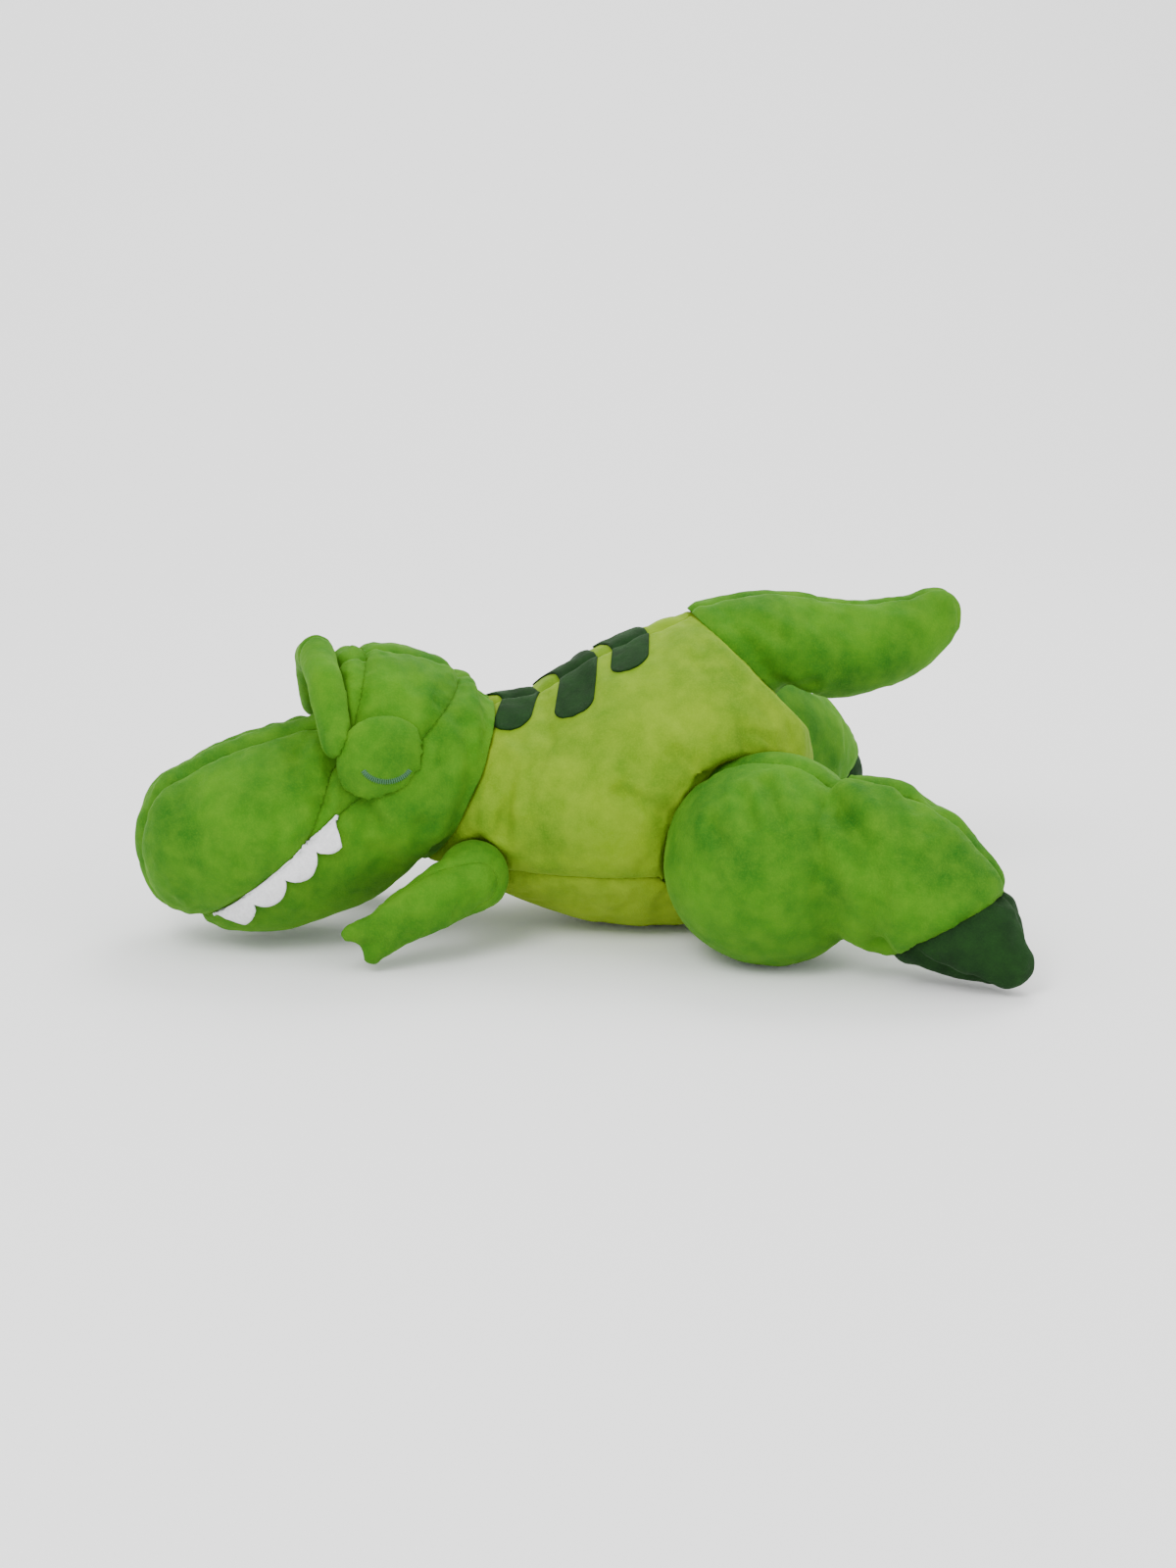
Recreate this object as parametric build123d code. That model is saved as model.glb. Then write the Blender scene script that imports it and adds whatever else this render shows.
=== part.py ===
"""A stuffed dinosaur that lies on its belly, as padded plush panels over fibre cores, in millimetres.

The head points along -X, the tail along +X, and the toy's left side faces -Y. The floor is Z = 0.
Head, tail, arms and legs are bodies of their own. Each has a ball at its root that turns in a
hollow of the torso about a hinge line along Y.
"""

from build123d import *
import math
import os

# Fabric and room
FIT = 0.2  # room between pads that lie on each other
SWING_GAP = 0.4  # room round a root that turns in its hollow
BIG = 900.0  # larger than the toy, for half spaces
CENTRE_SHIFT = 22.1  # along X, so that the middle of the toy's length ends up at X = 0

# Roots: centre and radius of the ball at the end of each limb
NECK = ((-93, 0, 108), 57)
NECK_TILT = -25.0
NECK_SWING = 13.0
TAIL_ROOT = ((101, 0, 188), 40)
TAIL_TILT = 45.0
TAIL_SWING = 18.0
HAUNCH = ((103, -114, 70.5), 72)
SHOULDER = ((-92, -70, 57), 25)

# Fibre cores: the two ends of their middle line and their radius
TORSO_CORE = ((12, 0, 97), (78, 0, 97), 40)
HEAD_CORE = ((-93, 0, 108), (-235, 0, 82), 40)
TAIL_CORE = ((101, 0, 188), (205, 0, 190), 18)
LEG_CORE = ((103, -130, 72), (184, -166, 64), 24)
ARM_CORE = ((-92, -76, 57), (-138, -89, 38), 9)

# Sewing lines
BELLY_SEAM_Z = 50.0
MOUTH_FRONT = (-266, 28)
MOUTH_BACK = (-178, 106)
GUSSET_HALF = 13.0
FIRST_TOOTH_BACK = 3.0  # how far the first tooth reaches past the front of the mouth line
TEETH = (4, 16.0, 28.0, 17.0)  # number, radius, spacing and depth below the mouth line
TEETH_FROM = 42.0
TEETH_LOWEST = 3.0
SNOUT_SEAM = (-176, 152)
SNOUT_SEAM_LEAN = -22.0
LEG_SEAM = (103, -118, 70)
LEG_SEAM_NORMAL = Vector(0.5, 0.866, 0)
SOLE_POINT = (203, -202, 45)
SOLE_NORMAL = Vector(0.465, -0.287, -0.838)
ARM_SEAM_Y = -88.0

# Stations: (x, z), tilt of the section's normal in degrees, half width, half height
TORSO = [
    ((-93, 108), -25, 64, 61),
    ((-50, 98), -12, 82, 71),
    ((0, 97), 0, 97, 92),
    ((55, 104), 0, 103, 106),
    ((98, 110), 0, 100, 112),
    ((125, 112), 0, 86, 99),
]
SKULL = [
    ((-80, 103), -25, 58, 56),
    ((-97, 111), -15, 71, 72),
    ((-122, 115), -4, 77, 83),
    ((-150, 118), 0, 76, 87),
    ((-170, 121), 0, 70, 82),
]
MUZZLE = [
    ((-140, 90), 0, 64, 60),
    ((-172, 87), 0, 71, 66),
    ((-215, 80), 0, 74, 71),
    ((-256, 75), 0, 67, 64),
    ((-283, 74), 0, 53, 51),
]
TAIL = [
    ((101, 188), 45, 40, 44),
    ((124, 192), 24, 41, 42),
    ((148, 190), 8, 39, 40),
    ((176, 188), 3, 36, 36.5),
    ((204, 190), 10, 33, 33),
    ((230, 198), 24, 28, 28),
    ((248, 209), 36, 22, 22),
]
FOOT_PATH = [
    (138, -142, 82),
    (160, -154, 79),
    (190, -172, 64),
    (212, -191, 47),
    (229, -205, 30),
    (238, -213, 21),
]
FOOT_RADII = [55, 57, 52, 43, 31, 22]
FOOT_FLATNESS = 0.84
ARM_PATH = [(-92, -76, 57), (-120, -86, 46), (-148, -90, 34)]
ARM_RADII = [24, 23, 19]
ARM_FLATNESS = 0.7
UPPER_FINGER = [(-146, -90, 36), (-168, -91, 31), (-179, -91, 28)]
UPPER_FINGER_RADII = [12, 10.5, 9]
LOWER_FINGER = [(-142, -90, 30), (-158, -91, 18), (-165, -91, 12)]
LOWER_FINGER_RADII = [12, 10, 9]
FINGER_FLATNESS = 0.85
BROW_PATH = [(-187, 0, 199), (-186, -36, 188), (-180, -60, 152)]
BROW_RADIUS = 12
EYE_PLACE = (-151, -66, 138)
EYELID_RADIUS = 33
EYELID_HALF = 17  # half its thickness in the middle

# Back stripes: x and half width of the round end, its lowest height without the lean, lean in degrees
STRIPES = {
    "back_stripe_front": (-54.5, 12, 152.4, -39),
    "back_stripe_middle": (-14.5, 12, 161, -33),
    "back_stripe_rear": (27, 12, 186.4, -35),
}

# Lengths of the rounded ends
TORSO_END = 28
SKULL_END = 16
MUZZLE_END = 30
TAIL_END = 20


def half_space(point, normal):
    """Everything on the far side of a plane from where its normal points."""
    block = Box(BIG, BIG, BIG, align=(Align.CENTER, Align.CENTER, Align.MAX))
    return Plane(origin=point, z_dir=normal) * block


def unit_from_tilt(tilt):
    """The direction in the XZ plane that is tilted up from +X by an angle."""
    return Vector(math.cos(math.radians(tilt)), 0, math.sin(math.radians(tilt)))


def oval(centre, normal, across, half_width, half_height):
    """An oval section whose width lies along across; every section starts at the same point."""
    up = Vector(normal).cross(Vector(across))
    points = []
    for step in range(12):
        angle = math.radians(30 * step)
        sideways = Vector(across) * (half_width * math.cos(angle))
        points.append(Vector(centre) + sideways + up * (half_height * math.sin(angle)))
    return make_face(Spline(*points, periodic=True))


def refine(rows, per_span):
    """Rows of numbers with smoothly interpolated rows added in each span."""
    fine = []
    for index in range(len(rows) - 1):
        near = [rows[min(max(index + shift, 0), len(rows) - 1)] for shift in (-1, 0, 1, 2)]
        for step in range(per_span):
            t = step / per_span
            row = []
            for p, q, r, s in zip(*near):
                bend = (2 * p - 5 * q + 4 * r - s) * t**2 + (3 * q - p - 3 * r + s) * t**3
                row.append(q + ((r - p) * t + bend) / 2)
            fine.append(row)
    fine.append(list(rows[-1]))
    return fine


def round_cap(centre, normal, across, half_width, half_height, length):
    """Sections that shrink along normal as a quarter ellipse does, to close a loft's end."""
    sections = []
    for angle in (20, 38, 54, 68, 79, 86):
        shrink = math.cos(math.radians(angle))
        place = Vector(centre) + normal * (length * math.sin(math.radians(angle)))
        sections.append(oval(place, normal, across, half_width * shrink, half_height * shrink))
    return sections


def spine_loft(stations, cap_length, forward):
    """A loft through upright stations that ends rounded; forward is +1 to the tail, -1 to the head."""
    across = Vector(0, 1, 0)
    rows = [(x, z, tilt, half_width, half_height) for (x, z), tilt, half_width, half_height in stations]
    sections = []
    for x, z, tilt, half_width, half_height in refine(rows, 2):
        normal = unit_from_tilt(tilt) * forward
        sections.append(oval((x, 0, z), normal, across, half_width, half_height))
    caps = round_cap((x, 0, z), normal, across, half_width, half_height, cap_length)
    return loft(sections + caps, ruled=True)


def ball(root, extra=0.0):
    """The ball at a limb's root, made larger by extra."""
    centre, radius = root
    return Pos(*centre) * Sphere(radius + extra)


def capsule(start, end, radius):
    """A round rod with ball ends."""
    line = Vector(*end) - Vector(*start)
    rod = Plane(origin=start, z_dir=line) * Cylinder(
        radius, line.length, align=(Align.CENTER, Align.CENTER, Align.MIN)
    )
    return rod + Pos(*start) * Sphere(radius) + Pos(*end) * Sphere(radius)


def lens(centre, radius, half):
    """A round pad that is thick in the middle, lying square to Y."""
    bulge = (radius**2 - half**2) / (2 * half)
    round_radius = math.hypot(radius, bulge)
    front = Pos(centre[0], centre[1] + bulge, centre[2]) * Sphere(round_radius)
    back = Pos(centre[0], centre[1] - bulge, centre[2]) * Sphere(round_radius)
    return front & back


def path_loft(points, radii, flat):
    """A loft along a bent path of points, with a rounded tip; flat squeezes its sections along Y."""
    rows = refine([(*point, radius) for point, radius in zip(points, radii)], 1)
    path = [Vector(x, y, z) for x, y, z, radius in rows]
    sections = []
    for index, point in enumerate(path):
        before = path[max(index - 1, 0)]
        after = path[min(index + 1, len(path) - 1)]
        normal = (after - before).normalized()
        across = (Vector(0, 1, 0) - normal * normal.Y).normalized()
        half = rows[index][3]
        sections.append(oval(point, normal, across, half * flat, half))
    sections += round_cap(path[-1], normal, across, half * flat, half, half)
    return loft(sections, ruled=True)


def above(z):
    """Everything above a height."""
    return half_space((0, 0, z), (0, 0, -1))


def below(z):
    """Everything below a height."""
    return half_space((0, 0, z), (0, 0, 1))


def left_of(y):
    """Everything on the toy's left of a plane at y."""
    return half_space((0, y, 0), (0, 1, 0))


def right_of(y):
    """Everything on the toy's right of a plane at y."""
    return half_space((0, y, 0), (0, -1, 0))


def halves(shape):
    """The left and right halves of a shape."""
    return shape & left_of(0), shape & right_of(0)


def mirrored(shape):
    """The same shape on the toy's other side."""
    return mirror(shape, Plane.XZ)


def beyond_root(root, tilt, swing, side):
    """Room on a limb's side of its root, which stays clear of the torso while the limb swings."""
    centre = Vector(root[0])
    room = None
    for turn in (-swing, swing):
        cut = half_space(centre, unit_from_tilt(tilt + turn) * side)
        room = cut if room is None else room & cut
    return room


def head_form():
    """Skull and blunt, wide muzzle as one form."""
    return spine_loft(SKULL, SKULL_END, -1) + spine_loft(MUZZLE, MUZZLE_END, -1)


def leg_form():
    """The left leg: round haunch and thick tapering foot, flat where it lies on the floor."""
    return (ball(HAUNCH) + path_loft(FOOT_PATH, FOOT_RADII, FOOT_FLATNESS)) & above(0)


def arm_form():
    """The left arm: round shoulder, short forearm and two stubby fingers."""
    fore = path_loft(ARM_PATH, ARM_RADII, ARM_FLATNESS)
    upper = path_loft(UPPER_FINGER, UPPER_FINGER_RADII, FINGER_FLATNESS)
    lower = path_loft(LOWER_FINGER, LOWER_FINGER_RADII, FINGER_FLATNESS)
    return ball(SHOULDER) + fore + upper + lower


def torso_form():
    """The torso, cut off at neck and tail and flat underneath, with the hollows that the limbs turn in."""
    body = spine_loft(TORSO, TORSO_END, 1) & above(0)
    body &= half_space(NECK[0], unit_from_tilt(NECK_TILT) * -1)
    body &= half_space(TAIL_ROOT[0], unit_from_tilt(TAIL_TILT))
    for limb in (NECK, TAIL_ROOT, HAUNCH, SHOULDER):
        hollow = ball(limb, SWING_GAP)
        body -= hollow
        if limb[0][1]:
            body -= mirrored(hollow)
    return body


def stripe_outline(x, half, low, lean):
    """A round-ended stripe over the back, as a prism along Y."""
    with BuildSketch(Plane.XZ) as sketch:
        with Locations(Location((x, low + half, 0), lean)):
            Circle(half)
            Rectangle(2 * half, 160, align=(Align.CENTER, Align.MIN))
    return extrude(sketch.sketch, amount=BIG / 2, both=True)


def build_torso():
    """Fibre core, two padded sides, padded belly and three dark stripes let into the back."""
    core = capsule(*TORSO_CORE)
    form = torso_form()
    nodes = {"torso_core": core}
    upper = form & above(BELLY_SEAM_Z)
    left, right = halves(upper)
    for name, numbers in STRIPES.items():
        outline = stripe_outline(*numbers)
        nodes[name] = upper & outline
        left -= outline
        right -= outline
    nodes["torso_side_left"] = left - core
    nodes["torso_side_right"] = right - core
    nodes["belly_panel"] = form & below(BELLY_SEAM_Z)
    return nodes


def mouth_line():
    """A point on the mouth line, the direction along it towards the neck, and the way down from it."""
    front = Vector(MOUTH_FRONT[0], 0, MOUTH_FRONT[1])
    run = (Vector(MOUTH_BACK[0], 0, MOUTH_BACK[1]) - front).normalized()
    down = Vector(run.Z, 0, -run.X)
    return front, run, down


def tooth_outline(count, lobe, pitch, depth):
    """A strip below the mouth line that ends in overlapping round lobes, as a prism along Y."""
    front, run, down = mouth_line()
    with BuildSketch(Plane.XZ) as sketch:
        for index in range(count):
            place = front + run * (lobe + pitch * index - FIRST_TOOTH_BACK) + down * (depth - lobe)
            with Locations((place.X, place.Z)):
                Circle(lobe)
    prism = extrude(sketch.sketch, amount=BIG / 2, both=True)
    return prism & half_space(front, down * -1)


def build_head():
    """Fibre core, sewn padded panels, felt teeth, brow rolls and padded eyelids."""
    front, run, down = mouth_line()
    form = head_form()
    core = capsule(*HEAD_CORE) + ball(NECK)
    padding = (form & beyond_root(NECK, NECK_TILT, NECK_SWING, 1)) - core
    upper = padding & half_space(front, down)
    jaw = padding & half_space(front, down * -1)
    snout_seam = unit_from_tilt(SNOUT_SEAM_LEAN)
    seam_point = (SNOUT_SEAM[0], 0, SNOUT_SEAM[1])
    snout = upper & half_space(seam_point, snout_seam)
    skull = upper & half_space(seam_point, snout_seam * -1)
    gusset = Box(BIG, 2 * GUSSET_HALF, BIG)
    teeth = tooth_outline(*TEETH) & above(TEETH_LOWEST)
    nodes = {"head_core": core, "muzzle_gusset": snout & gusset}
    nodes["head_side_left"], nodes["head_side_right"] = halves(skull)
    nodes["muzzle_side_left"], nodes["muzzle_side_right"] = halves(snout - gusset)
    strips = {"left": teeth & left_of(-TEETH_FROM), "right": teeth & right_of(TEETH_FROM)}
    jaw_halves = dict(zip(strips, halves(jaw)))
    for side, strip in strips.items():
        nodes[f"teeth_{side}"] = jaw & strip
        nodes[f"jaw_{side}"] = jaw_halves[side] - strip
    lid = lens(EYE_PLACE, EYELID_RADIUS, EYELID_HALF)
    top, middle, low = BROW_PATH
    roll = capsule(top, middle, BROW_RADIUS) + capsule(middle, low, BROW_RADIUS)
    brow = (roll & left_of(-FIT)) - lens(EYE_PLACE, EYELID_RADIUS + FIT, EYELID_HALF + FIT)
    nodes["eyelid_left"] = lid - form
    nodes["eyelid_right"] = mirrored(lid) - form
    nodes["brow_left"] = brow - form
    nodes["brow_right"] = mirrored(brow) - form
    return nodes


def build_tail():
    """Fibre core and two padded sides."""
    form = spine_loft(TAIL, TAIL_END, 1) & beyond_root(TAIL_ROOT, TAIL_TILT, TAIL_SWING, -1)
    core = ball(TAIL_ROOT) + capsule(*TAIL_CORE)
    left, right = halves(form - core)
    return {"tail_core": core, "tail_side_left": left, "tail_side_right": right}


def build_leg():
    """Fibre core, outer and inner padded panels and the dark sole of the left leg."""
    core = capsule(*LEG_CORE)
    padding = leg_form() - core
    upper = padding & half_space(SOLE_POINT, SOLE_NORMAL)
    return {
        "leg_core": core,
        "leg_outer": upper & half_space(LEG_SEAM, LEG_SEAM_NORMAL),
        "leg_inner": upper & half_space(LEG_SEAM, LEG_SEAM_NORMAL * -1),
        "sole": padding & half_space(SOLE_POINT, SOLE_NORMAL * -1),
    }


def build_arm():
    """Fibre core, outer and inner padded panels of the left arm."""
    core = capsule(*ARM_CORE)
    padding = arm_form() - core
    return {
        "arm_core": core,
        "arm_outer": padding & left_of(ARM_SEAM_Y),
        "arm_inner": padding & right_of(ARM_SEAM_Y),
    }


def both_sides(nodes):
    """Left nodes and their mirror images, with the side added to each name."""
    pairs = {}
    for name, shape in nodes.items():
        pairs[f"{name}_left"] = shape
        pairs[f"{name}_right"] = mirrored(shape)
    return pairs


def main():
    """Make every piece and write each to a file of its own."""
    os.makedirs("parts", exist_ok=True)
    nodes = {}
    nodes.update(build_torso())
    nodes.update(build_head())
    nodes.update(build_tail())
    nodes.update(both_sides(build_leg()))
    nodes.update(both_sides(build_arm()))
    for name, shape in nodes.items():
        centred = Pos(CENTRE_SHIFT, 0, 0) * shape
        export_step(Compound(children=list(centred.solids())), f"parts/{name}.step")


main()
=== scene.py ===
"""A stuffed dinosaur in short-pile plush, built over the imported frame. Lengths are in metres."""

import math

import bmesh
import bpy
import numpy as np
from mathutils import Matrix, Vector, noise
from mathutils.bvhtree import BVHTree


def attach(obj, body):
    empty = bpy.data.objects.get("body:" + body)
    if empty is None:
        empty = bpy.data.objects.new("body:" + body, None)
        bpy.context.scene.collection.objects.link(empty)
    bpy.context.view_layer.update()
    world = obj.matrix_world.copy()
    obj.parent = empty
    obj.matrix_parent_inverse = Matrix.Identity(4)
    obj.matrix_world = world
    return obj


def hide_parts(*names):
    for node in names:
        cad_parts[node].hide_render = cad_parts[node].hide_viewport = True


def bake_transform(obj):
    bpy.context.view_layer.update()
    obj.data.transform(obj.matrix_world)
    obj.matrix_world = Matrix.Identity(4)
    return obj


CENTRE_SHIFT = 0.0221  # from the middle of the torso to the middle of the whole toy


def at(x, y, z):
    """A place given from the middle of the torso."""
    return Vector((x + CENTRE_SHIFT, y, z))


# Roots and sewing lines, the same as in the design
NECK = at(-0.093, 0, 0.108)
NECK_TILT = -25.0
TAIL_ROOT = at(0.101, 0, 0.188)
TAIL_TILT = 45.0
BELLY_SEAM_Z = 0.050
MOUTH_FRONT = at(-0.266, 0, 0.028)
MOUTH_BACK = at(-0.178, 0, 0.106)
SNOUT_SEAM = at(-0.176, 0, 0.152)
SNOUT_LEAN = -22.0
GUSSET_HALF = 0.013
LEG_SEAM = at(0.103, -0.118, 0.070)
LEG_SEAM_NORMAL = Vector((0.5, 0.866, 0))
SOLE_POINT = at(0.203, -0.202, 0.045)
SOLE_NORMAL = Vector((0.465, -0.287, -0.838))
ARM_SEAM_Y = -0.088
EYE = at(-0.151, -0.066, 0.138)

# Fabric
VOXEL = 0.0042  # of the mesh that a form is remade with
SWELL_FRAMES = 14
START_INSET = 0.001  # how much smaller a form is before it swells
SWELL_CAP = 0.006
HELD_WIDTH = 0.005  # of the strip along a seam that doesn't swell
RESTS_BELOW = 0.003  # what is lower than this lies on the floor and doesn't swell
SKIN = 0.0016
FELT = 0.0014
STRIPE = 0.0014
SIDEWAYS = Vector((0, 1, 0))
MIDDLE = Vector((0, 0, 0))
RIM_GAP = 0.0002  # between the fabrics that meet at a root
STRETCH = 0.050  # length of the root span handed to panels as stretch; no code makes fabric give over it

# Camera and lens
YAW = 11
RISE = 15
DISTANCE = 2.4
LENS = 79.38


def unit(tilt):
    """The direction in the XZ plane that is tilted up from +X by an angle in degrees."""
    return Vector((math.cos(math.radians(tilt)), 0, math.sin(math.radians(tilt))))


def add_object(name, mesh):
    """Link a mesh as a new object."""
    piece = bpy.data.objects.new(name, mesh)
    bpy.context.scene.collection.objects.link(piece)
    return piece


def apply_modifiers(piece):
    """Turn a piece's modifiers into its mesh."""
    graph = bpy.context.evaluated_depsgraph_get()
    mesh = bpy.data.meshes.new_from_object(piece.evaluated_get(graph))
    piece.modifiers.clear()
    piece.data = mesh


def points_of(piece):
    """A piece's vertex positions as an array."""
    count = len(piece.data.vertices)
    flat = np.empty(count * 3)
    piece.data.vertices.foreach_get("co", flat)
    return flat.reshape(count, 3)


def normals_of(piece):
    """A piece's vertex normals as an array."""
    count = len(piece.data.vertices)
    flat = np.empty(count * 3)
    piece.data.vertices.foreach_get("normal", flat)
    return flat.reshape(count, 3)


def move_points(piece, places):
    """Set a piece's vertex positions from an array."""
    piece.data.vertices.foreach_set("co", np.ascontiguousarray(places).ravel())
    piece.data.update()


def soft_base(name, nodes, plugs=(), smooth=8, voxel=VOXEL):
    """One closed, rounded form made of several CAD solids and ball-shaped plugs."""
    work = bmesh.new()
    for node in nodes:
        work.from_mesh(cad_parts[node].data)
    for place, size, tilt in plugs:
        shape = Matrix.Translation(place) @ Matrix.Rotation(-math.radians(tilt), 4, "Y")
        shape = shape @ Matrix.Diagonal((*size, 1))
        bmesh.ops.create_icosphere(work, subdivisions=4, radius=1, matrix=shape)
    mesh = bpy.data.meshes.new(name)
    work.to_mesh(mesh)
    work.free()
    piece = add_object(name, mesh)
    remesh = piece.modifiers.new("remesh", "REMESH")
    remesh.mode = "VOXEL"
    remesh.voxel_size = voxel
    soften = piece.modifiers.new("soften", "SMOOTH")
    soften.factor = 0.5
    soften.iterations = smooth
    apply_modifiers(piece)
    keep_largest(piece)
    return piece


def keep_largest(piece):
    """Delete every loose part of a mesh except the one with the most vertices."""
    work = bmesh.new()
    work.from_mesh(piece.data)
    left = set(work.verts)
    largest = set()
    while left:
        first = left.pop()
        group = {first}
        waiting = [first]
        while waiting:
            vert = waiting.pop()
            for edge in vert.link_edges:
                other = edge.other_vert(vert)
                if other in left:
                    left.discard(other)
                    group.add(other)
                    waiting.append(other)
        if len(group) > len(largest):
            largest = group
    spare = [vert for vert in work.verts if vert not in largest]
    bmesh.ops.delete(work, geom=spare, context="VERTS")
    work.to_mesh(piece.data)
    work.free()


def cut_away(piece, point, normal):
    """Remove what lies on the side of a plane that its normal points to."""
    work = bmesh.new()
    work.from_mesh(piece.data)
    geometry = work.verts[:] + work.edges[:] + work.faces[:]
    bmesh.ops.bisect_plane(work, geom=geometry, plane_co=point, plane_no=normal, clear_outer=True)
    work.to_mesh(piece.data)
    work.free()


def tuck_in(piece, point, normal, depth=0.0034, length=0.006):
    """Leave a short seam allowance past a plane, sunk under the fabric that is sewn on there."""
    places = points_of(piece)
    past = side_of(places, point, normal)
    sink = depth * np.clip(past / 0.002, 0, 1)
    move_points(piece, places - normals_of(piece) * sink[:, None])
    cut_away(piece, point + normal * length, normal)


def seam_distance(places, seam):
    """Distance of points from a seam's plane, large where the seam isn't sewn."""
    point, normal, where = seam
    distance = np.abs((places - np.array(point)) @ np.array(normal.normalized()))
    if where is not None:
        distance = np.where(where(places), distance, 1.0)
    return distance


def puff(piece, seams, pressure=3.5):
    """Swell a form with a cloth simulation that holds its seams, and cap how far it moves."""
    start = points_of(piece)
    start -= normals_of(piece) * START_INSET
    move_points(piece, start)
    held = np.zeros(len(start))
    for seam in seams:
        held = np.maximum(held, np.exp(-((seam_distance(start, seam) / HELD_WIDTH) ** 2)))
    held = np.maximum(held, (start[:, 2] < RESTS_BELOW) * 1.0)
    group = piece.vertex_groups.new(name="held")
    for index in np.nonzero(held > 0.05)[0]:
        group.add([int(index)], float(held[index]), "REPLACE")
    cloth = piece.modifiers.new("cloth", "CLOTH")
    settings = cloth.settings
    settings.use_pressure = True
    settings.uniform_pressure_force = pressure
    settings.vertex_group_mass = "held"
    settings.pin_stiffness = 1.0
    settings.tension_stiffness = 12
    settings.compression_stiffness = 12
    settings.shear_stiffness = 4
    settings.bending_stiffness = 0.4
    settings.shrink_min = -0.02
    settings.effector_weights.gravity = 0
    settings.quality = 4
    cloth.point_cache.frame_start = 1
    cloth.point_cache.frame_end = SWELL_FRAMES
    for step in range(1, SWELL_FRAMES + 1):
        bpy.context.scene.frame_set(step)
    apply_modifiers(piece)
    bpy.context.scene.frame_set(1)
    shift = points_of(piece) - start
    length = np.linalg.norm(shift, axis=1, keepdims=True)
    shift *= np.minimum(1, SWELL_CAP / np.maximum(length, 1e-9))
    places = start + shift
    places[:, 2] = np.maximum(places[:, 2], 0.0004)
    move_points(piece, places)


def refine_mesh(piece):
    """Halve the size of a mesh's faces."""
    finer = piece.modifiers.new("finer", "SUBSURF")
    finer.levels = 1
    apply_modifiers(piece)


def noise_values(places, scale, seed):
    """Smooth noise between about -1 and 1 at each point."""
    shift = Vector((seed * 7.3, seed * 3.1, seed * 5.7))
    return np.array([noise.noise(Vector(p) * scale + shift) for p in places])


def segment_distance(places, start, end):
    """Distance of points from a straight segment."""
    a = np.array(start)
    line = np.array(end) - a
    along = np.clip(((places - a) @ line) / (line @ line), 0, 1)
    return np.linalg.norm(places - a - along[:, None] * line, axis=1)


def work_surface(piece, seams, creases, seed, groove=0.0042):
    """Press in seams with their puckers, fold creases, and leave the uneven look of filled plush."""
    places = points_of(piece)
    normals = normals_of(piece)
    push = noise_values(places, 16, seed) * 0.0016
    push += noise_values(places, 45, seed + 1) * 0.0007
    pucker = noise_values(places, 95, seed + 2)
    for seam in seams:
        distance = seam_distance(places, seam)
        push -= groove * np.exp(-((distance / 0.0042) ** 1.3))
        push -= 0.0022 * np.maximum(pucker, 0) * np.exp(-((distance / 0.014) ** 2))
    for points, depth, width in creases:
        distance = np.full(len(places), 1.0)
        for start, end in zip(points[:-1], points[1:]):
            distance = np.minimum(distance, segment_distance(places, start, end))
        push -= depth * np.exp(-((distance / width) ** 2))
        push += 0.35 * depth * np.exp(-(((distance - 2.1 * width) / width) ** 2))
    places = places + normals * push[:, None]
    places[:, 2] = np.maximum(places[:, 2], 0.0002)
    move_points(piece, places)


def split_at(piece, planes):
    """Add edges along each plane, so that panels can part there."""
    work = bmesh.new()
    work.from_mesh(piece.data)
    for point, normal in planes:
        geometry = work.verts[:] + work.edges[:] + work.faces[:]
        bmesh.ops.bisect_plane(work, geom=geometry, plane_co=point, plane_no=normal, dist=0.0003)
    bmesh.ops.dissolve_degenerate(work, dist=0.0002, edges=work.edges[:])
    work.to_mesh(piece.data)
    work.free()


def face_centres(piece):
    """The middle of each face of a piece."""
    return np.array([face.center for face in piece.data.polygons])


def panel(piece, name, centres, chosen):
    """A fabric panel from the faces of a form that a test on their first centres chooses."""
    work = bmesh.new()
    work.from_mesh(piece.data)
    keep = chosen(centres)
    spare = [face for face, kept in zip(work.faces[:], keep) if not kept]
    bmesh.ops.delete(work, geom=spare, context="FACES")
    mesh = bpy.data.meshes.new(name)
    work.to_mesh(mesh)
    work.free()
    cloth = add_object(name, mesh)
    cloth.data.polygons.foreach_set("use_smooth", [True] * len(mesh.polygons))
    thick = cloth.modifiers.new("thick", "SOLIDIFY")
    thick.thickness = SKIN
    thick.offset = -1
    apply_modifiers(cloth)
    return cloth


def side_of(places, point, normal):
    """Signed distance of points from a plane."""
    return (places - np.array(point)) @ np.array(normal)


def mirrored(piece, name):
    """A mirror image of a piece across the XZ plane."""
    mesh = piece.data.copy()
    mesh.transform(Matrix.Scale(-1, 4, (0, 1, 0)))
    mesh.flip_normals()
    return add_object(name, mesh)


def ball_distance(places, directions, centre, radius):
    """How far along each direction a ball's surface lies, or 1 metre where it's missed."""
    offset = places - np.array(centre)
    along = np.sum(offset * directions, axis=1)
    inside = along**2 - np.sum(offset * offset, axis=1) + radius**2
    reach = -along - np.sqrt(np.maximum(inside, 0))
    return np.where((inside > 0) & (reach > 0), reach, 1.0)


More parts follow.
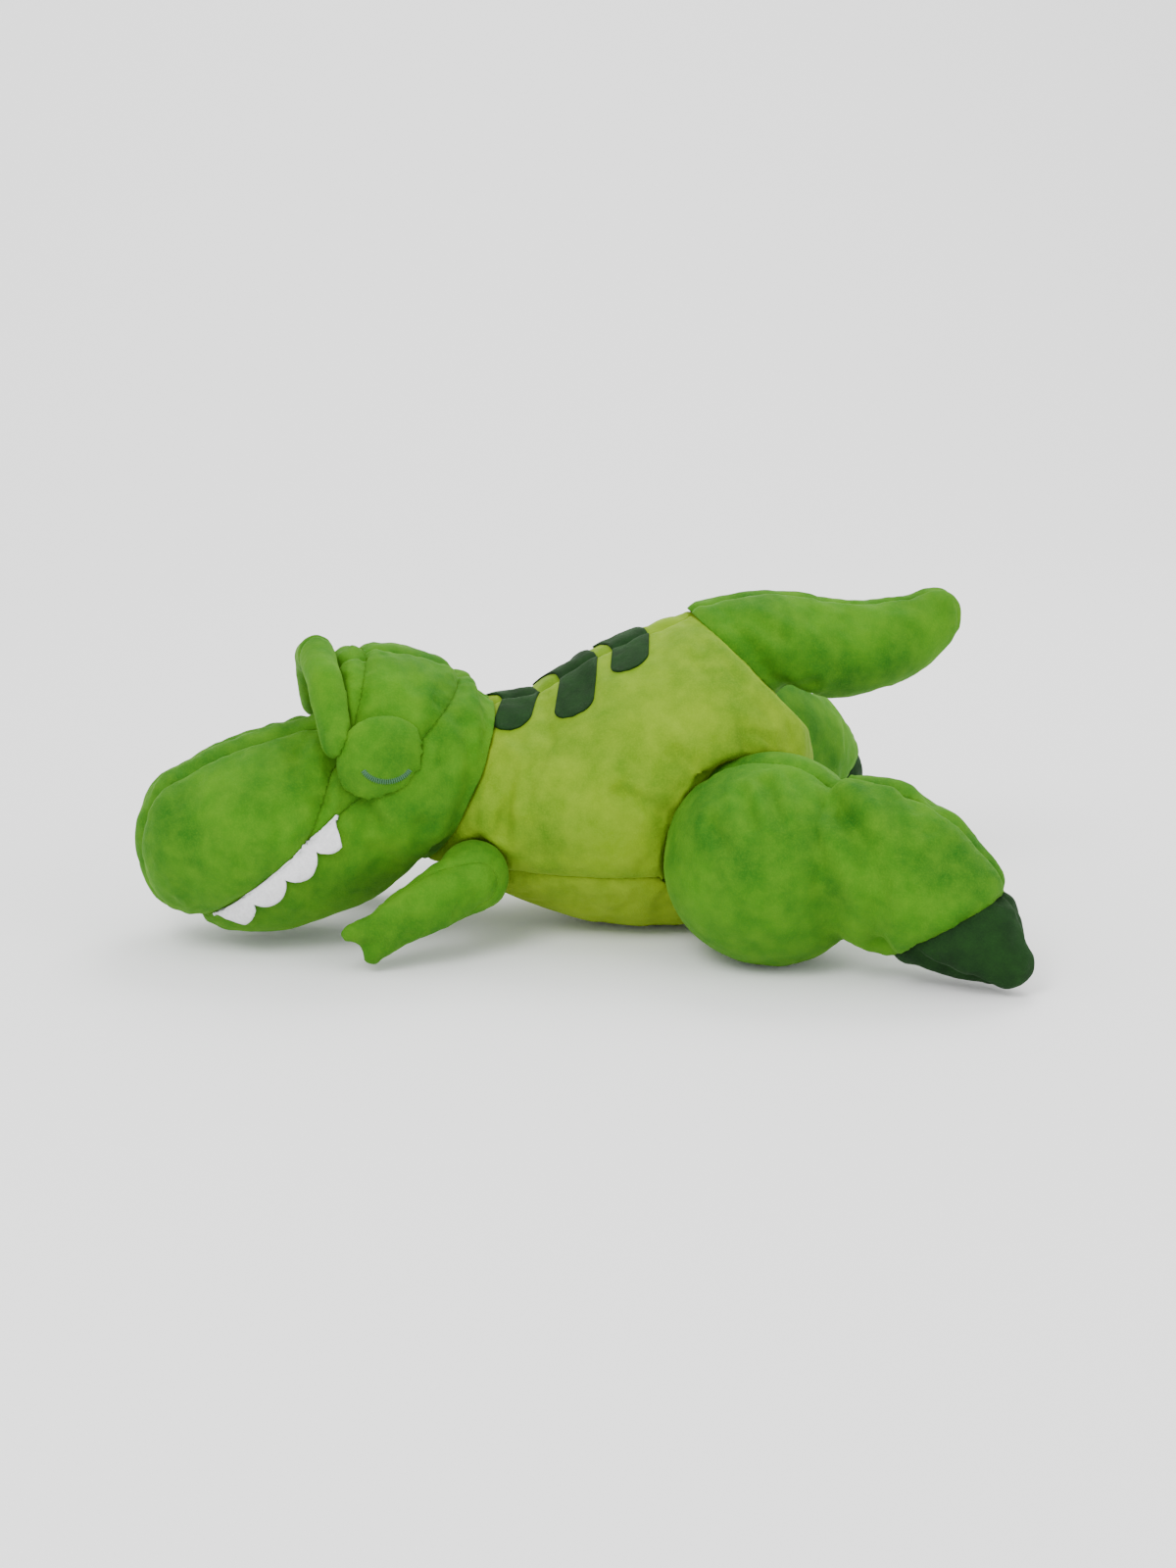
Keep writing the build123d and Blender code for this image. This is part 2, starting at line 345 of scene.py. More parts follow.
def filling(skin, name, body, nodes, margin=0.009, start=0.014, limits=()):
    """A lumpy fibre filling that grows out from its core until it nearly reaches the fabric."""
    inside = soft_base(name, nodes, smooth=2)
    tree = tree_of(skin)
    directions = normals_of(inside)
    places = points_of(inside) - directions * start
    reach = np.full(len(places), start * 0.7)
    for index, (place, direction) in enumerate(zip(places, directions)):
        hit, normal, face, far = tree.ray_cast(Vector(place), Vector(direction))
        if hit is not None:
            reach[index] = far
    for centre, radius in limits:
        reach = np.minimum(reach, ball_distance(places, directions, centre, radius))
    lumps = 0.0015 * noise_values(places, 60, 9)
    grow = np.clip(reach - margin + lumps, 0.001, 0.09)
    move_points(inside, places + directions * grow[:, None])
    soften = inside.modifiers.new("soften", "SMOOTH")
    soften.iterations = 6
    apply_modifiers(inside)
    inside.data.polygons.foreach_set("use_smooth", [True] * len(inside.data.polygons))
    inside.data.materials.append(FIBRE)
    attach(inside, body)
    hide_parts(*nodes)


# Materials ------------------------------------------------------------------


def mix_colours(nodes, links, factor, first, second):
    """A colour mix driven by a factor socket."""
    mix = nodes.new("ShaderNodeMix")
    mix.data_type = "RGBA"
    links.new(factor, mix.inputs["Factor"])
    for socket, value in ((mix.inputs[6], first), (mix.inputs[7], second)):
        if isinstance(value, tuple):
            socket.default_value = (*value, 1)
        else:
            links.new(value, socket)
    return mix.outputs[2]


def noise_node(nodes, links, coordinates, scale, detail=3.0, rough=0.55):
    """A noise texture's value output."""
    texture = nodes.new("ShaderNodeTexNoise")
    texture.inputs["Scale"].default_value = scale
    texture.inputs["Detail"].default_value = detail
    texture.inputs["Roughness"].default_value = rough
    links.new(coordinates, texture.inputs["Vector"])
    return texture.outputs["Fac"]


def ramp(nodes, links, value, low, high):
    """A value stretched so that low becomes 0 and high becomes 1."""
    stretch = nodes.new("ShaderNodeMapRange")
    stretch.inputs["From Min"].default_value = low
    stretch.inputs["From Max"].default_value = high
    links.new(value, stretch.inputs["Value"])
    return stretch.outputs["Result"]


def plush(name, deep, sheen_lit_colour, sheen_colour, sheen=0.22):
    """Short-pile plush with painted sheen: its base colour is lighter in cloudy patches, streaks and
    fine specks, as where light catches the lying fibres; the sheen colour also tints the shader's own
    sheen.
    """
    material = bpy.data.materials.new(name)
    material.use_nodes = True
    nodes = material.node_tree.nodes
    links = material.node_tree.links
    shader = nodes["Principled BSDF"]
    coordinates = nodes.new("ShaderNodeTexCoord").outputs["Object"]
    # Painted sheen: the three mixes below lighten the base colour towards the sheen-lit and sheen
    # colours, standing in for light caught by the fibres.
    sheen_patches = ramp(nodes, links, noise_node(nodes, links, coordinates, 13, 4.0, 0.6), 0.36, 0.64)
    nap_sheen = ramp(nodes, links, noise_node(nodes, links, coordinates, 70, 3.0), 0.35, 0.7)
    pile = noise_node(nodes, links, coordinates, 900, 2.0)
    base = mix_colours(nodes, links, sheen_patches, deep, sheen_lit_colour)
    weight = nodes.new("ShaderNodeMath")
    weight.operation = "MULTIPLY"
    weight.inputs[1].default_value = 0.30
    links.new(nap_sheen, weight.inputs[0])
    base = mix_colours(nodes, links, weight.outputs[0], base, sheen_colour)
    sheen_specks = nodes.new("ShaderNodeMath")
    sheen_specks.operation = "MULTIPLY"
    sheen_specks.inputs[1].default_value = 0.22
    links.new(ramp(nodes, links, pile, 0.45, 0.75), sheen_specks.inputs[0])
    base = mix_colours(nodes, links, sheen_specks.outputs[0], base, sheen_colour)
    links.new(base, shader.inputs["Base Color"])
    shader.inputs["Roughness"].default_value = 0.85
    shader.inputs["Specular IOR Level"].default_value = 0.2
    shader.inputs["Sheen Weight"].default_value = sheen
    shader.inputs["Sheen Roughness"].default_value = 0.35
    shader.inputs["Sheen Tint"].default_value = (*[min(1, c * 2.6 + 0.01) for c in sheen_colour], 1)
    soft = nodes.new("ShaderNodeBump")
    soft.inputs["Strength"].default_value = 0.35
    soft.inputs["Distance"].default_value = 0.002
    links.new(noise_node(nodes, links, coordinates, 120, 4.0, 0.65), soft.inputs["Height"])
    fine = nodes.new("ShaderNodeBump")
    fine.inputs["Strength"].default_value = 0.4
    fine.inputs["Distance"].default_value = 0.0006
    links.new(pile, fine.inputs["Height"])
    links.new(soft.outputs["Normal"], fine.inputs["Normal"])
    links.new(fine.outputs["Normal"], shader.inputs["Normal"])
    return material


def felt_material(name, colour, shade):
    """Matte felt with a fibrous surface."""
    material = bpy.data.materials.new(name)
    material.use_nodes = True
    nodes = material.node_tree.nodes
    links = material.node_tree.links
    shader = nodes["Principled BSDF"]
    coordinates = nodes.new("ShaderNodeTexCoord").outputs["Object"]
    fibre = noise_node(nodes, links, coordinates, 420, 6.0, 0.7)
    base = mix_colours(nodes, links, ramp(nodes, links, fibre, 0.35, 0.65), shade, colour)
    links.new(base, shader.inputs["Base Color"])
    shader.inputs["Roughness"].default_value = 0.95
    shader.inputs["Sheen Weight"].default_value = 0.2
    bump = nodes.new("ShaderNodeBump")
    bump.inputs["Strength"].default_value = 0.5
    bump.inputs["Distance"].default_value = 0.0007
    links.new(fibre, bump.inputs["Height"])
    links.new(bump.outputs["Normal"], shader.inputs["Normal"])
    return material


def thread_material(name, colour, shade):
    """Shiny embroidery thread."""
    material = bpy.data.materials.new(name)
    material.use_nodes = True
    nodes = material.node_tree.nodes
    links = material.node_tree.links
    shader = nodes["Principled BSDF"]
    coordinates = nodes.new("ShaderNodeTexCoord").outputs["Object"]
    strand = noise_node(nodes, links, coordinates, 1500, 2.0)
    base = mix_colours(nodes, links, strand, shade, colour)
    links.new(base, shader.inputs["Base Color"])
    shader.inputs["Roughness"].default_value = 0.45
    return material


# Pieces ---------------------------------------------------------------------


def finish_panel(cloth, body, material, nodes, stretch=None):
    """Give a panel its fabric and hide the CAD solids it stands for; without stretch the panel gets
    its place in the frame, while with stretch, the root span it names, its transform is only baked in
    and no code makes it give there.
    """
    cloth.data.materials.clear()
    cloth.data.materials.append(material)
    if stretch is None:
        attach(cloth, body)
    else:
        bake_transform(cloth)
    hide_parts(*nodes)


def make_torso():
    """Two side panels, the belly panel and the fibre inside."""
    nodes = ["torso_side_left", "torso_side_right", "belly_panel", "torso_core"]
    nodes += ["back_stripe_front", "back_stripe_middle", "back_stripe_rear"]
    neck_plug = (NECK + unit(NECK_TILT) * 0.004, (0.030, 0.064, 0.061), NECK_TILT)
    tail_plug = (TAIL_ROOT - unit(TAIL_TILT) * 0.004, (0.030, 0.041, 0.044), TAIL_TILT)
    base = soft_base("torso_form", nodes, [neck_plug, tail_plug], smooth=6)
    belly = (Vector((0, 0, BELLY_SEAM_Z)), Vector((0, 0, 1)), None)
    back = (MIDDLE, SIDEWAYS, lambda p: p[:, 2] > BELLY_SEAM_Z)
    neck = (NECK, unit(NECK_TILT), None)
    tail = (TAIL_ROOT, unit(TAIL_TILT), None)
    puff(base, [belly, back, neck, tail])
    tuck_in(base, NECK, unit(NECK_TILT) * -1)
    tuck_in(base, TAIL_ROOT, unit(TAIL_TILT))
    refine_mesh(base)
    split_at(base, [belly[:2], back[:2]])
    centres = face_centres(base)
    work_surface(base, [belly, back], torso_creases(), 1)
    over = lambda p: p[:, 2] > BELLY_SEAM_Z
    left = panel(base, "torso_left_fabric", centres, lambda p: over(p) & (p[:, 1] < 0))
    right = panel(base, "torso_right_fabric", centres, lambda p: over(p) & (p[:, 1] >= 0))
    under = panel(base, "belly_fabric", centres, lambda p: ~over(p))
    finish_panel(left, "torso", BODY_PLUSH, ["torso_side_left"])
    finish_panel(right, "torso", BODY_PLUSH, ["torso_side_right"])
    finish_panel(under, "torso", BELLY_PLUSH, ["belly_panel"])
    limits = [(NECK, 0.062), (TAIL_ROOT, 0.045)]
    limits += [(at(0.103, side * 0.114, 0.0705), 0.078) for side in (-1, 1)]
    limits += [(at(-0.092, side * 0.070, 0.057), 0.030) for side in (-1, 1)]
    filling(base, "torso_fibre", "torso", ["torso_core"], limits=limits)
    return base


def both_sides(points):
    """A crease's points and their mirror image."""
    return points, [Vector((p[0], -p[1], p[2])) for p in points]


def torso_creases():
    """Folds where the torso meets neck, thighs, arms and tail."""
    made = []
    for x, low, high, depth in ((-0.062, 0.085, 0.150, 0.004), (-0.045, 0.110, 0.155, 0.003)):
        for points in both_sides([at(x - 0.012, -0.075, low), at(x, -0.068, high)]):
            made.append((points, depth, 0.005))
    for turn in (100, 130, 155):
        angle = math.radians(turn)
        near = at(0.103 + 0.074 * math.cos(angle), -0.098, 0.0705 + 0.074 * math.sin(angle))
        far = at(0.103 + 0.112 * math.cos(angle), -0.098, 0.0705 + 0.112 * math.sin(angle))
        for points in both_sides([near, far]):
            made.append((points, 0.003, 0.005))
    return made


def head_creases():
    """Folds under the brow, at the cheek and behind the crown."""
    made = []
    lines = [
        ([(-0.190, -0.020, 0.158), (-0.183, -0.050, 0.150), (-0.176, -0.066, 0.128)], 0.006, 0.006),
        ([(-0.172, -0.068, 0.118), (-0.160, -0.074, 0.098)], 0.004, 0.006),
        ([(-0.118, -0.066, 0.178), (-0.110, -0.074, 0.140)], 0.003, 0.006),
        ([(-0.098, -0.055, 0.160), (-0.094, -0.068, 0.120), (-0.104, -0.072, 0.085)], 0.003, 0.006),
        ([(-0.130, -0.030, 0.203), (-0.126, -0.052, 0.188)], 0.003, 0.005),
        ([(-0.128, -0.078, 0.095), (-0.120, -0.074, 0.070)], 0.003, 0.006),
    ]
    for points, depth, width in lines:
        for side in both_sides([at(*p) for p in points]):
            made.append((side, depth, width))
    return made


def mouth_directions():
    """The direction along the mouth towards the neck, and the way down from it."""
    run = (MOUTH_BACK - MOUTH_FRONT).normalized()
    return run, Vector((run.z, 0, -run.x))


def make_head():
    """Skull, muzzle, gusset and jaw panels, with the fibre inside."""
    nodes = ["head_core", "muzzle_gusset"]
    for side in ("left", "right"):
        nodes += [f"head_side_{side}", f"muzzle_side_{side}", f"jaw_{side}", f"teeth_{side}"]
    plug = (NECK + unit(NECK_TILT) * -0.002, (0.030, 0.065, 0.062), NECK_TILT)
    base = soft_base("head_form", nodes, [plug])
    run, down = mouth_directions()
    snout = unit(SNOUT_LEAN)
    before = lambda p: (side_of(p, SNOUT_SEAM, snout) < 0) & (side_of(p, MOUTH_FRONT, down) < 0)
    upper = lambda p: side_of(p, MOUTH_FRONT, down) < 0
    mouth = (MOUTH_FRONT, down, None)
    cheek = (SNOUT_SEAM, snout, upper)
    rim_left = (Vector((0, -GUSSET_HALF, 0)), SIDEWAYS, before)
    rim_right = (Vector((0, GUSSET_HALF, 0)), SIDEWAYS, before)
    middle = (MIDDLE, SIDEWAYS, lambda p: ~before(p))
    seams = [mouth, cheek, rim_left, rim_right, middle]
    puff(base, seams + [(NECK, unit(NECK_TILT), None)])
    cut_away(base, NECK - unit(NECK_TILT) * RIM_GAP, unit(NECK_TILT))
    refine_mesh(base)
    split_at(base, [seam[:2] for seam in seams])
    centres = face_centres(base)
    work_surface(base, seams, head_creases(), 3)
    left = lambda p: p[:, 1] < 0
    parts = {
        "head_side_left": lambda p: upper(p) & ~before(p) & left(p),
        "head_side_right": lambda p: upper(p) & ~before(p) & ~left(p),
        "muzzle_side_left": lambda p: before(p) & (p[:, 1] < -GUSSET_HALF),
        "muzzle_side_right": lambda p: before(p) & (p[:, 1] > GUSSET_HALF),
        "muzzle_gusset": lambda p: before(p) & (np.abs(p[:, 1]) <= GUSSET_HALF),
        "jaw_left": lambda p: ~upper(p) & left(p),
        "jaw_right": lambda p: ~upper(p) & ~left(p),
    }
    for node, chosen in parts.items():
        cloth = panel(base, f"{node}_fabric", centres, chosen)
        stretch = None if node.startswith("muzzle") else (NECK, NECK - unit(NECK_TILT) * STRETCH)
        finish_panel(cloth, "head", LIMB_PLUSH, [node], stretch)
    filling(base, "head_fibre", "head", ["head_core"])
    return base


def make_tail():
    """Two side panels and the fibre inside."""
    nodes = ["tail_core", "tail_side_left", "tail_side_right"]
    plug = (TAIL_ROOT + unit(TAIL_TILT) * 0.002, (0.024, 0.042, 0.045), TAIL_TILT)
    base = soft_base("tail_form", nodes, [plug])
    middle = (MIDDLE, SIDEWAYS, None)
    puff(base, [middle, (TAIL_ROOT, unit(TAIL_TILT), None)])
    cut_away(base, TAIL_ROOT + unit(TAIL_TILT) * RIM_GAP, unit(TAIL_TILT) * -1)
    refine_mesh(base)
    split_at(base, [middle[:2]])
    centres = face_centres(base)
    creases = []
    for points in both_sides([at(0.105, -0.034, 0.222), at(0.128, -0.040, 0.205)]):
        creases.append((points, 0.003, 0.005))
    for points in both_sides([at(0.125, -0.036, 0.160), at(0.150, -0.038, 0.168)]):
        creases.append((points, 0.003, 0.005))
    work_surface(base, [middle], creases, 5)
    for side, chosen in (("left", lambda p: p[:, 1] < 0), ("right", lambda p: p[:, 1] >= 0)):
        cloth = panel(base, f"tail_{side}_fabric", centres, chosen)
        stretch = (TAIL_ROOT, TAIL_ROOT + unit(TAIL_TILT) * STRETCH)
        finish_panel(cloth, "tail", LIMB_PLUSH, [f"tail_side_{side}"], stretch)
    filling(base, "tail_fibre", "tail", ["tail_core"])
    return base


def leg_creases():
    """Folds round the ankle and pleats at the top of the thigh."""
    ankle = [
        (0.128, -0.172, 0.128),
        (0.146, -0.190, 0.098),
        (0.158, -0.194, 0.062),
        (0.160, -0.186, 0.032),
    ]
    lines = [
        (ankle, 0.009, 0.008),
        ([(0.178, -0.160, 0.128), (0.186, -0.190, 0.104)], 0.003, 0.006),
        ([(0.168, -0.196, 0.076), (0.184, -0.206, 0.070)], 0.003, 0.005),
        ([(0.072, -0.150, 0.132), (0.076, -0.172, 0.112)], 0.004, 0.005),
        ([(0.090, -0.148, 0.136), (0.092, -0.176, 0.116)], 0.004, 0.005),
        ([(0.110, -0.146, 0.138), (0.110, -0.172, 0.120)], 0.003, 0.005),
        ([(0.050, -0.150, 0.110), (0.056, -0.170, 0.096)], 0.003, 0.005),
        ([(0.196, -0.158, 0.118), (0.204, -0.180, 0.100)], 0.003, 0.006),
    ]
    return [([at(*p) for p in points], depth, width) for points, depth, width in lines]


def make_legs():
    """Outer and inner panels and dark sole of each leg, with the fibre inside."""
    nodes = ["leg_core_left", "leg_outer_left", "leg_inner_left", "sole_left"]
    base = soft_base("leg_form", nodes)
    above_sole = lambda p: side_of(p, SOLE_POINT, SOLE_NORMAL) < 0
    side_seam = (LEG_SEAM, LEG_SEAM_NORMAL, above_sole)
    sole_seam = (SOLE_POINT, SOLE_NORMAL, None)
    heel_to_toe = Vector((0.838, 0, 0.465)).normalized()
    across = heel_to_toe.cross(SOLE_NORMAL).normalized()
    sole_middle = (SOLE_POINT, across, lambda p: ~above_sole(p))
    seams = [side_seam, sole_seam, sole_middle]
    puff(base, seams)
    refine_mesh(base)
    split_at(base, [side_seam[:2], sole_seam[:2]])
    centres = face_centres(base)
    work_surface(base, seams, leg_creases(), 7)
    outer = lambda p: side_of(p, LEG_SEAM, LEG_SEAM_NORMAL) < 0
    parts = {
        "leg_outer": (lambda p: above_sole(p) & outer(p), LIMB_PLUSH, "limb_plush"),
        "leg_inner": (lambda p: above_sole(p) & ~outer(p), LIMB_PLUSH, "limb_plush"),
        "sole": (lambda p: ~above_sole(p), DARK_PLUSH, "dark_plush"),
    }
    for node, (chosen, material, slot) in parts.items():
        cloth = panel(base, f"{node}_left_fabric", centres, chosen)
        other = mirrored(cloth, f"{node}_right_fabric")
        for side, piece in (("left", cloth), ("right", other)):
            finish_panel(piece, f"leg_{side}", material, [f"{node}_{side}"])
    filling(base, "leg_left_fibre", "leg_left", ["leg_core_left"])
    twin = mirrored(base, "leg_form_right")
    filling(twin, "leg_right_fibre", "leg_right", ["leg_core_right"])
    bpy.data.objects.remove(twin)
    bpy.data.objects.remove(base)


def make_arms():
    """Outer and inner panels of each arm, with the fibre inside."""
    base = soft_base("arm_form", ["arm_core_left", "arm_outer_left", "arm_inner_left"], (), 4, 0.003)
    side_seam = (Vector((0, ARM_SEAM_Y, 0)), SIDEWAYS, None)
    puff(base, [side_seam], pressure=2.0)
    refine_mesh(base)
    split_at(base, [side_seam[:2]])
    centres = face_centres(base)
    work_surface(base, [side_seam], [], 9, groove=0.002)
    for node, chosen in (
        ("arm_outer", lambda p: p[:, 1] < ARM_SEAM_Y),
        ("arm_inner", lambda p: p[:, 1] >= ARM_SEAM_Y),
    ):
        cloth = panel(base, f"{node}_left_fabric", centres, chosen)
        finish_panel(cloth, "arm_left", LIMB_PLUSH, [f"{node}_left"])
        other = mirrored(cloth, f"{node}_right_fabric")
        finish_panel(other, "arm_right", LIMB_PLUSH, [f"{node}_right"])
    filling(base, "arm_left_fibre", "arm_left", ["arm_core_left"], margin=0.006, start=0.006)
    twin = mirrored(base, "arm_form_right")
    filling(twin, "arm_right_fibre", "arm_right", ["arm_core_right"], margin=0.006, start=0.006)
    bpy.data.objects.remove(twin)
    bpy.data.objects.remove(base)


def tree_of(piece):
    """A ray-casting tree over a form."""
    work = bmesh.new()
    work.from_mesh(piece.data)
    tree = BVHTree.FromBMesh(work)
    work.free()
    return tree


def sheet_mesh(name, rows, thickness):
    """A thin piece over a grid of points, thickened to both sides."""
    work = bmesh.new()
    grid = [[work.verts.new(p) for p in row] for row in rows]
    for low, high in zip(grid[:-1], grid[1:]):
        for index in range(len(low) - 1):
            work.faces.new((low[index], low[index + 1], high[index + 1], high[index]))
    bmesh.ops.recalc_face_normals(work, faces=work.faces)
    mesh = bpy.data.meshes.new(name)
    work.to_mesh(mesh)
    work.free()
    piece = add_object(name, mesh)
    piece.data.polygons.foreach_set("use_smooth", [True] * len(mesh.polygons))
    thick = piece.modifiers.new("thick", "SOLIDIFY")
    thick.thickness = thickness
    thick.offset = 0
    apply_modifiers(piece)
    return piece


def make_stripes(torso):
    """Three dark rounded stripes that lie over the back and lean forward down both sides."""
    tree = tree_of(torso)
    # place at the ridge and at the low end, radius of the back there, turn from ridge to end
    stripes = {
        "back_stripe_front": (-0.046, -0.062, 0.072, 40),
        "back_stripe_middle": (-0.006, -0.021, 0.083, 42),
        "back_stripe_rear": (0.030, 0.020, 0.097, 26),
    }
    half = 0.0125
    steps = 60
    for node, (top, low, radius, turn) in stripes.items():
        reach = radius * math.radians(turn)
        rows = []
        for step in range(steps + 1):
            s = -reach + 2 * reach * step / steps
            past = max(0.0, abs(s) - (reach - half)) / half
            wide = half * math.sqrt(max(0.0, 1 - past**2)) + 0.0002
            ray = Vector((0, math.sin(s / radius), math.cos(s / radius)))
            row = []
            for across in range(13):
                place = top + (low - top) * abs(s) / reach + wide * (across / 6 - 1)
                hit, normal, index, far = tree.ray_cast(at(place, 0, 0.10), ray)
                row.append(hit + ray * 0.0008)
            rows.append(row)
        piece = sheet_mesh(f"{node}_fabric", rows, STRIPE)
        finish_panel(piece, "torso", DARK_PLUSH, [node])


def make_teeth(head):
    """White felt teeth along each side of the mouth, cut into four round lobes."""
    tree = tree_of(head)
    run, down = mouth_directions()
    for side, sign in (("left", -1), ("right", 1)):
        rows = []
        steps = 96
        for step in range(steps + 1):
            along = step / steps
            lobe = abs(math.sin(math.pi * 4 * along))
            ends = min(1.0, 9 * along, 9 * (1 - along))
            depth = ends * (0.008 + 0.009 * lobe**0.7)
            row = []
            for inner in range(9):
                lower = -0.002 + depth * inner / 8
                place = MOUTH_FRONT + run * (0.004 + 0.108 * along) + down * lower
                place.y = sign * 0.15
                hit, normal, index, far = tree.ray_cast(place, Vector((0, -sign, 0)))
                if hit is None:
                    hit = Vector((place.x, sign * 0.03, place.z))
                    normal = Vector((0, sign, 0))
                row.append(hit + normal * (0.0012 + 0.0016 * inner / 8))
            rows.append(row)
        piece = sheet_mesh(f"teeth_{side}_felt", rows, FELT)
        finish_panel(piece, "head", WHITE_FELT, [f"teeth_{side}"])


def small_pad(name, node, seed):
    """A small padded piece on the head from its CAD solid, with a soft, slightly uneven surface."""
    piece = add_object(name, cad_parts[node].data.copy())
    remesh = piece.modifiers.new("remesh", "REMESH")
    remesh.mode = "VOXEL"
    remesh.voxel_size = 0.0028
    soften = piece.modifiers.new("soften", "SMOOTH")
    soften.iterations = 6
    apply_modifiers(piece)
    refine_mesh(piece)
    places = points_of(piece)
    push = noise_values(places, 60, seed) * 0.0008 + 0.0008
    move_points(piece, places + normals_of(piece) * push[:, None])
    piece.data.polygons.foreach_set("use_smooth", [True] * len(piece.data.polygons))
    finish_panel(piece, "head", LIMB_PLUSH, [node])
    return piece


def stitch_row(name, tree, points, out, length, radius):
    """A line of satin stitches across a path, laid on a surface of the head."""
    work = bmesh.new()
    for index in range(len(points) - 1):
        here = points[index]
        ahead = (points[index + 1] - here).normalized()
        across = ahead.cross(out).normalized()
        hit, normal, face, far = tree.ray_cast(here + out * 0.05, out * -1)
        if hit is None:
            continue
        turn = Matrix((across, normal.cross(across).normalized(), normal)).transposed().to_4x4()
        shape = Matrix.Translation(hit + normal * radius * 0.4) @ turn
        shape = shape @ Matrix.Diagonal((length / 2, radius, radius, 1))
        bmesh.ops.create_uvsphere(work, u_segments=10, v_segments=6, radius=1, matrix=shape)
    mesh = bpy.data.meshes.new(name)
    work.to_mesh(mesh)
    work.free()
    piece = add_object(name, mesh)
    piece.data.polygons.foreach_set("use_smooth", [True] * len(mesh.polygons))
    piece.data.materials.append(THREAD)
    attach(piece, "head")


def make_face():
    """Padded eyelids with a sleepy stitched eye, and the brow roll."""
    for side, sign in (("left", -1), ("right", 1)):
        lid = small_pad(f"eyelid_{side}_pad", f"eyelid_{side}", 11)
        small_pad(f"brow_{side}_roll", f"brow_{side}", 13)
        out = Vector((0, sign, 0))
        centre = Vector((EYE.x, sign * 0.08, EYE.z))
        arc = []
        for step in range(27):
            angle = math.radians(205 + 130 * step / 26)
            arc.append(centre + Vector((0.017 * math.cos(angle), 0, 0.004 + 0.013 * math.sin(angle))))
        stitch_row(f"eye_{side}_stitches", tree_of(lid), arc, out, 0.0042, 0.0007)


def place_camera():
    """The camera, low and a little towards the head on the toy's left."""
    yaw = math.radians(YAW)
    rise = math.radians(RISE)
    target = at(0, 0, 0.098)
    level = Vector((math.sin(yaw), math.cos(yaw), 0))
    look = level * math.cos(rise) - Vector((0, 0, math.sin(rise)))
    data = bpy.data.cameras.new("camera")
    data.sensor_width = 36
    data.lens = LENS
    camera = bpy.data.objects.new("camera", data)
    camera.location = target - look * DISTANCE
    camera.rotation_euler = look.to_track_quat("-Z", "Y").to_euler()
    bpy.context.scene.collection.objects.link(camera)
    bpy.context.scene.camera = camera


def area_light(name, place, aim, size, power):
    """A soft square light."""
    data = bpy.data.lights.new(name, "AREA")
    data.size = size
    data.energy = power
    light = bpy.data.objects.new(name, data)
    light.location = place
    light.rotation_euler = (Vector(aim) - Vector(place)).to_track_quat("-Z", "Y").to_euler()
    bpy.context.scene.collection.objects.link(light)


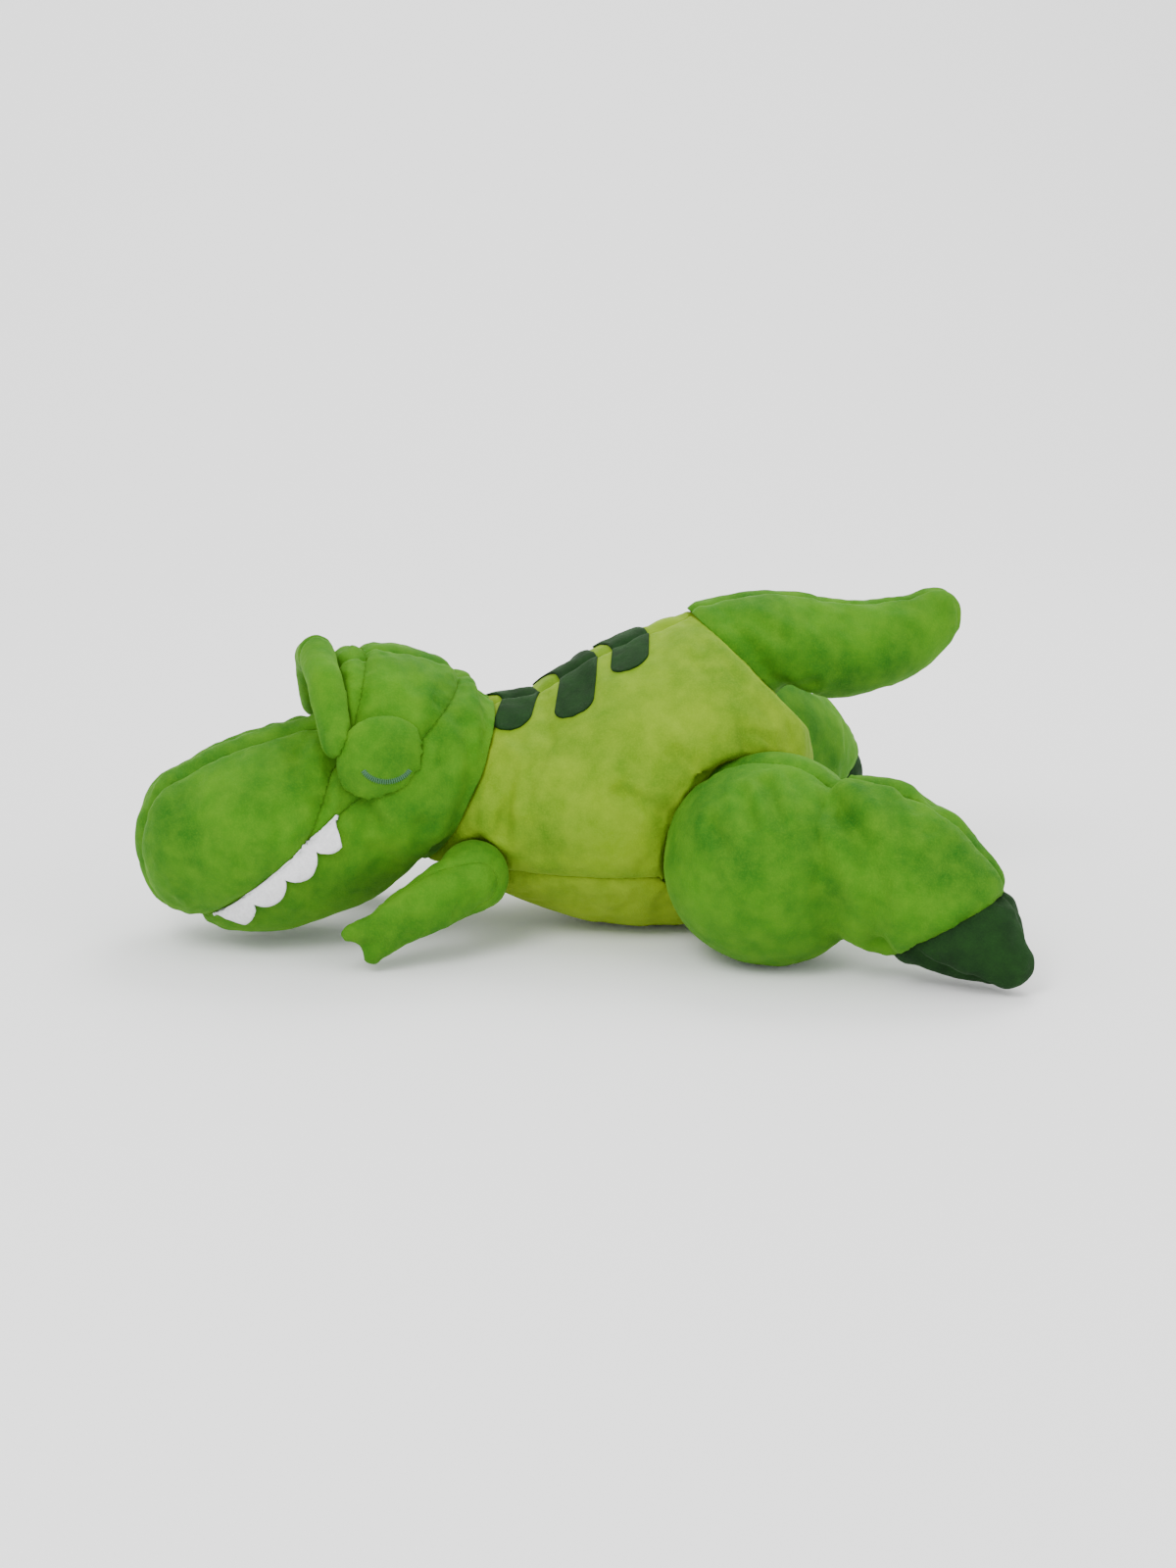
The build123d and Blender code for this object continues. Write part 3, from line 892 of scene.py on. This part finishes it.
def make_studio():
    """A pale floor that curves up behind, and soft lights."""
    floor_material = bpy.data.materials.new("floor")
    floor_material.use_nodes = True
    shader = floor_material.node_tree.nodes["Principled BSDF"]
    shader.inputs["Base Color"].default_value = (0.92, 0.92, 0.92, 1)
    shader.inputs["Roughness"].default_value = 0.9
    work = bmesh.new()
    profile = [(-4.0, 0.0), (1.2, 0.0)]
    for step in range(1, 9):
        angle = math.radians(90 * step / 8)
        profile.append((1.2 + 0.8 * math.sin(angle), 0.8 - 0.8 * math.cos(angle)))
    profile.append((2.0, 4.0))
    rows = [[work.verts.new((x, y, z)) for y, z in profile] for x in (-4, 4)]
    for index in range(len(profile) - 1):
        work.faces.new((rows[0][index], rows[0][index + 1], rows[1][index + 1], rows[1][index]))
    mesh = bpy.data.meshes.new("floor")
    work.to_mesh(mesh)
    work.free()
    floor = add_object("floor", mesh)
    floor.data.polygons.foreach_set("use_smooth", [True] * len(mesh.polygons))
    floor.data.materials.append(floor_material)
    world = bpy.data.worlds.new("studio")
    world.use_nodes = True
    world.node_tree.nodes["Background"].inputs["Color"].default_value = (1, 1, 1, 1)
    world.node_tree.nodes["Background"].inputs["Strength"].default_value = 1.45
    bpy.context.scene.world = world
    area_light("key", (-1.2, -1.6, 2.2), (0, 0, 0.1), 1.2, 50)
    area_light("fill", (1.6, -1.8, 1.4), (0, 0, 0.1), 1.6, 18)
    area_light("back", (0.6, 1.0, 1.8), (0, 0, 0.15), 1.0, 22)


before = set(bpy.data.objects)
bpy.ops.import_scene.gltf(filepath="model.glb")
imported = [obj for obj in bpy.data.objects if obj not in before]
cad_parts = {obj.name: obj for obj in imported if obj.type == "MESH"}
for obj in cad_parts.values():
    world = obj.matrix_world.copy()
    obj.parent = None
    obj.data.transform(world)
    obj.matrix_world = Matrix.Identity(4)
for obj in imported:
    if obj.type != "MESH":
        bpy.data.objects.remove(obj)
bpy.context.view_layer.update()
place_camera()
make_studio()
# Each plush gets a deep colour, a lighter colour painted in cloudy patches as sheen, and a sheen
# colour painted in streaks and specks that also tints the shader's sheen.
BODY_PLUSH = plush("body_plush", (0.060, 0.160, 0.0005), (0.140, 0.250, 0.002), (0.26, 0.38, 0.015))
BELLY_PLUSH = plush("belly_plush", (0.090, 0.180, 0.001), (0.165, 0.265, 0.004), (0.28, 0.40, 0.02))
LIMB_PLUSH = plush("limb_plush", (0.010, 0.095, 0.0003), (0.040, 0.165, 0.0008), (0.12, 0.27, 0.008))
DARK_PLUSH = plush(
    "dark_plush", (0.0005, 0.008, 0.0005), (0.0025, 0.024, 0.0015), (0.012, 0.06, 0.006), sheen=0.15
)
WHITE_FELT = felt_material("white_felt", (0.78, 0.78, 0.80), (0.62, 0.62, 0.64))
FIBRE = felt_material("fibre", (0.85, 0.85, 0.83), (0.6, 0.6, 0.58))
THREAD = thread_material("thread", (0.03, 0.14, 0.05), (0.01, 0.06, 0.02))
torso_form = make_torso()
make_stripes(torso_form)
head_form = make_head()
make_teeth(head_form)
make_face()
tail_form = make_tail()
make_legs()
make_arms()
for form in (torso_form, head_form, tail_form):
    bpy.data.objects.remove(form)
